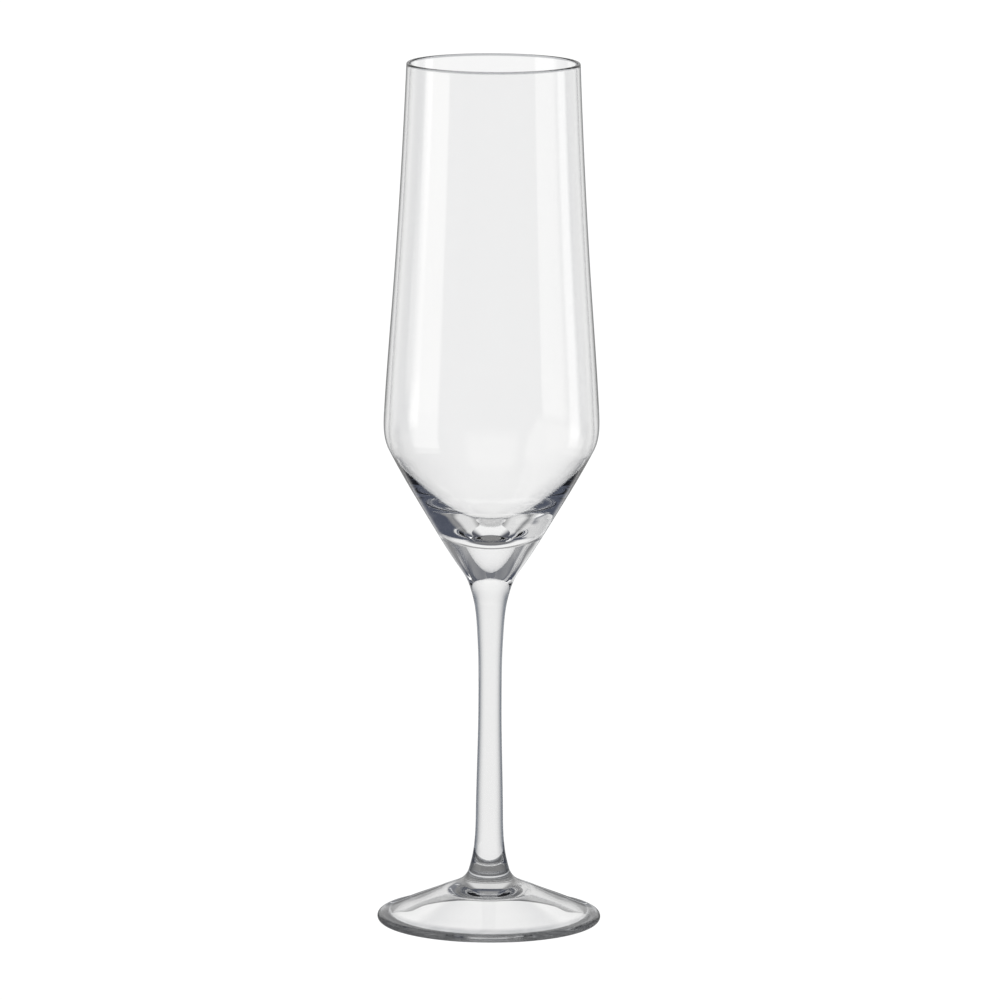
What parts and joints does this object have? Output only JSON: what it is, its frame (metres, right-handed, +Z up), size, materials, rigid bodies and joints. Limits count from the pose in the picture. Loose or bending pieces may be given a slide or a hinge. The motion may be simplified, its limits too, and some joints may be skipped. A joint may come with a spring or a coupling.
{
  "type": "champagne flute",
  "caption": "Tall clear crystal champagne flute: a slim tapering bowl with a rounded shoulder over a solid cone, a thin drawn stem and a round spreading foot.",
  "frame": {"origin": "centre of the foot's resting plane, on the glass's axis of revolution", "axes": "+Z up along the axis of revolution, from the foot to the rim; +X and +Y are any two directions across it, because the glass is round"},
  "size_m": [0.0608, 0.0608, 0.235],
  "materials": {
    "clear_crystal": "clear, fire-polished"
  },
  "bodies": {
    "root": {"bowl": "clear_crystal", "stem": "clear_crystal", "foot": "clear_crystal"}
  },
  "joints": []
}
